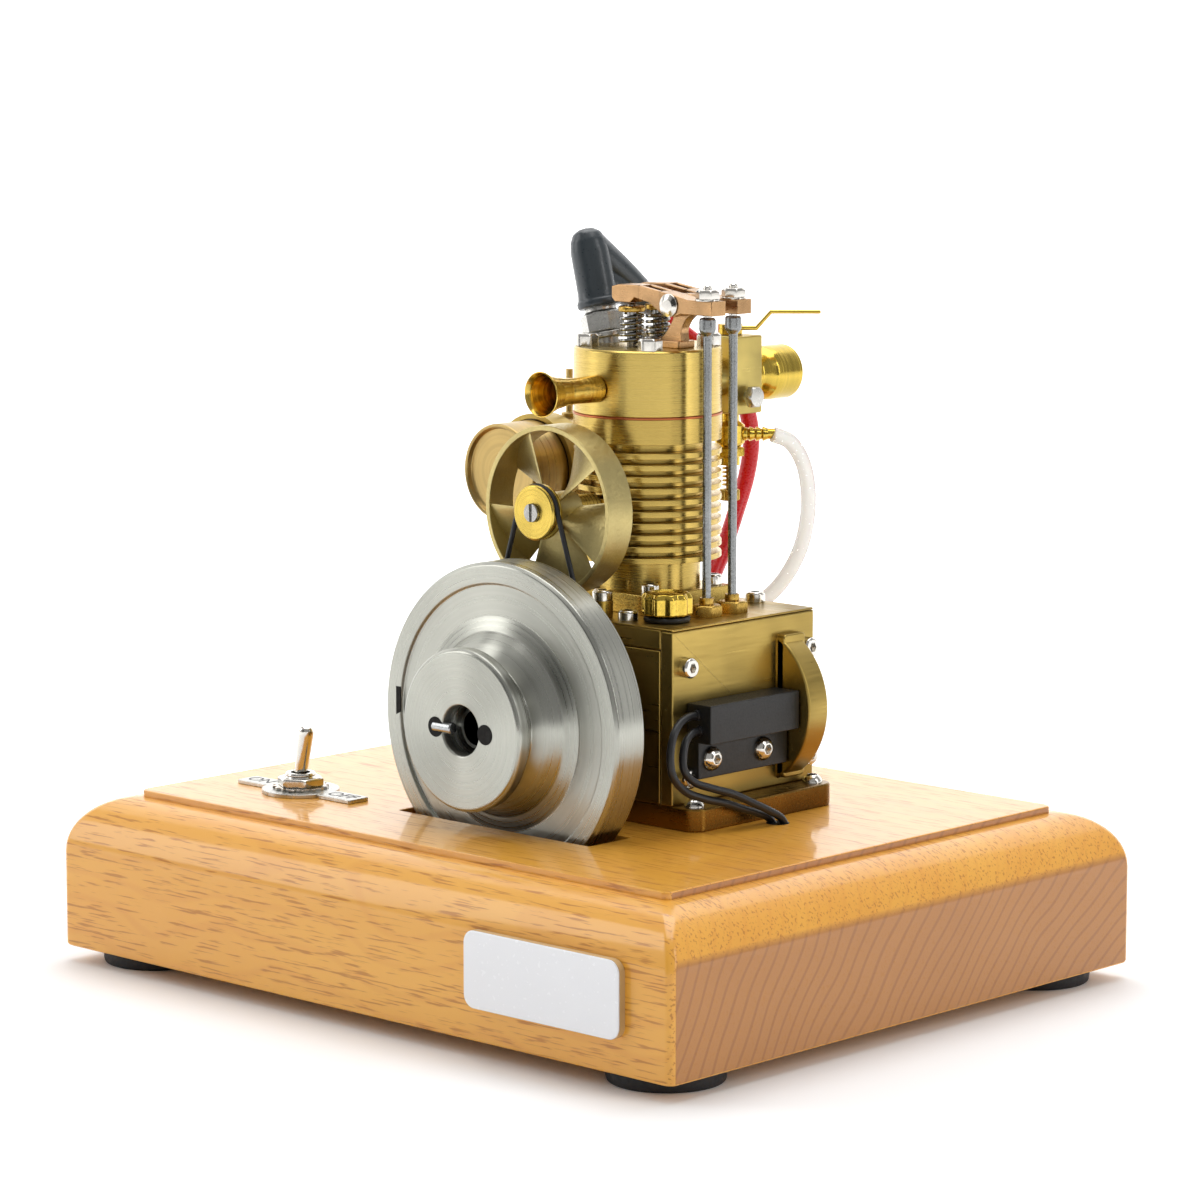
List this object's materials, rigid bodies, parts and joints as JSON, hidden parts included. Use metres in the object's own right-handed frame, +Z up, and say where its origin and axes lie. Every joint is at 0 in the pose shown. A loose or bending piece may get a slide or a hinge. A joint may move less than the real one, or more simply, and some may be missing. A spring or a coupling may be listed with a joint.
{
  "type": "model engine",
  "caption": "Desk model of an upright finned-cylinder engine on a rounded wooden base, with flywheel, belt-driven fan, open valve gear, carburettor, fuel tank and toggle switch.",
  "frame": {"origin": "centre of the footprint, on the surface the rubber feet stand on", "axes": "+X along the base's length, to the right seen from the flywheel side; -Y towards the flywheel side; +Z up"},
  "size_m": [0.16, 0.1316, 0.1422],
  "materials": {
    "beech": "glossy lacquered beech",
    "brass": "brushed",
    "cast_brass": "grainy cast",
    "bronze": "satin",
    "steel": "satin turned",
    "nickel": "bright plated",
    "copper": "satin copper",
    "black_plastic": "matt",
    "black_rubber": "satin",
    "red_silicone": "smooth",
    "white_silicone": "translucent smooth",
    "white_plastic": "glossy"
  },
  "bodies": {
    "base": {"wooden_base": "beech", "bottom_cover": "black_plastic", "ignition_module": "black_plastic", "sensor_block": "black_plastic", "rubber_foot_1": "black_rubber", "rubber_foot_2": "black_rubber", "rubber_foot_3": "black_rubber", "rubber_foot_4": "black_rubber", "spark_plug_boot": "black_rubber", "fan_belt": "black_rubber", "sensor_wire_upper": "black_rubber", "sensor_wire_lower": "black_rubber", "name_plate": "white_plastic", "switch_body": "nickel", "switch_plate": "nickel", "spark_plug": "nickel", "foot_plate": "brass", "crankcase": "brass", "front_cover": "brass", "side_cover_right": "brass", "side_cover_left": "brass", "cylinder": "brass", "cylinder_head": "brass", "exhaust_horn": "brass", "tappet_guide_front": "brass", "tappet_guide_rear": "brass", "rocker_stand": "brass", "carburettor_body": "brass", "intake_bell": "brass", "fuel_fitting": "brass", "fuel_tank": "brass", "tank_bracket": "brass", "fan_axle": "brass", "front_bearing": "steel", "rear_bearing": "steel", "head_gasket": "copper", "ignition_lead": "red_silicone", "fuel_hose": "white_silicone"},
    "crank": {"crankshaft_front": "steel", "crankshaft_rear": "steel", "flywheel": "steel", "crank_pulley": "steel"},
    "camshaft": {"camshaft": "steel"},
    "fan": {"fan": "cast_brass", "fan_pulley": "brass"},
    "piston": {"piston": "steel", "piston_pin": "steel"},
    "connecting_rod": {"connecting_rod": "bronze"},
    "rocker_front": {"rocker_front": "bronze"},
    "rocker_rear": {"rocker_rear": "bronze"},
    "pushrod_front": {"pushrod_front": "steel"},
    "pushrod_rear": {"pushrod_rear": "steel"},
    "valve_front": {"valve_front": "steel", "valve_spring_front": "steel"},
    "valve_rear": {"valve_rear": "steel", "valve_spring_rear": "steel"},
    "throttle_lever": {"throttle_lever": "brass"},
    "needle_valve": {"needle_valve": "brass"},
    "switch_lever": {"switch_lever": "nickel"},
    "oil_filler_cap": {"oil_filler_cap": "brass"}
  },
  "joints": [
    {"name": "crank_spin", "type": "hinge", "parent": "base", "child": "crank", "pos_m": [0.007, 0.00885, 0.053], "axis": [0, 1, 0], "continuous": true},
    {"name": "cam_spin", "type": "hinge", "parent": "base", "child": "camshaft", "pos_m": [0.0254, 0.00885, 0.053], "axis": [0, 1, 0], "continuous": true},
    {"name": "fan_spin", "type": "hinge", "parent": "base", "child": "fan", "pos_m": [0.0065, -0.015, 0.0914], "axis": [0, 1, 0], "continuous": true},
    {"name": "piston_slide", "type": "slide", "parent": "base", "child": "piston", "axis": [0, 0, 1], "range_m": [-0.014, 0]},
    {"name": "rod_swing", "type": "hinge", "parent": "piston", "child": "connecting_rod", "pos_m": [0.007, 0.00885, 0.098], "axis": [0, 1, 0], "range_deg": [-10.6, 10.6]},
    {"name": "rocker_front_rock", "type": "hinge", "parent": "base", "child": "rocker_front", "pos_m": [0.0175, 0.00525, 0.129], "axis": [0, 1, 0], "range_deg": [-6, 0]},
    {"name": "pushrod_front_lift", "type": "slide", "parent": "base", "child": "pushrod_front", "axis": [0, 0, 1], "range_m": [0, 0.00082]},
    {"name": "valve_front_lift", "type": "slide", "parent": "base", "child": "valve_front", "axis": [0, 0, 1], "range_m": [-0.00125, 0], "deforming": ["valve_spring_front"]},
    {"name": "rocker_rear_rock", "type": "hinge", "parent": "base", "child": "rocker_rear", "pos_m": [0.0175, 0.01245, 0.129], "axis": [0, 1, 0], "range_deg": [-6, 0]},
    {"name": "pushrod_rear_lift", "type": "slide", "parent": "base", "child": "pushrod_rear", "axis": [0, 0, 1], "range_m": [0, 0.00082]},
    {"name": "valve_rear_lift", "type": "slide", "parent": "base", "child": "valve_rear", "axis": [0, 0, 1], "range_m": [-0.00125, 0], "deforming": ["valve_spring_rear"]},
    {"name": "throttle_turn", "type": "hinge", "parent": "base", "child": "throttle_lever", "pos_m": [0.007, 0.0323, 0.1225], "axis": [0, 0, 1], "range_deg": [-50, 50]},
    {"name": "needle_turn", "type": "hinge", "parent": "base", "child": "needle_valve", "pos_m": [0.007, 0.0323, 0.094], "axis": [0, 0, 1], "range_deg": [-180, 180]},
    {"name": "switch_throw", "type": "hinge", "parent": "base", "child": "switch_lever", "pos_m": [-0.04475, -0.03375, 0.037], "axis": [0, 1, 0], "range_deg": [-22, 0]},
    {"name": "oil_cap_lift", "type": "slide", "parent": "base", "child": "oil_filler_cap", "axis": [0, 0, 1], "range_m": [0, 0.02]}
  ],
  "couplings": [
    {"joint": "cam_spin", "follows": "crank_spin", "ratio": -0.5},
    {"joint": "fan_spin", "follows": "crank_spin", "ratio": 3.3469},
    {"joint": "rocker_front_rock", "follows": "pushrod_front_lift", "rad_per_m": -126.58},
    {"joint": "valve_front_lift", "follows": "pushrod_front_lift", "ratio": -1.4304},
    {"joint": "rocker_rear_rock", "follows": "pushrod_rear_lift", "rad_per_m": -126.58},
    {"joint": "valve_rear_lift", "follows": "pushrod_rear_lift", "ratio": -1.4304}
  ]
}
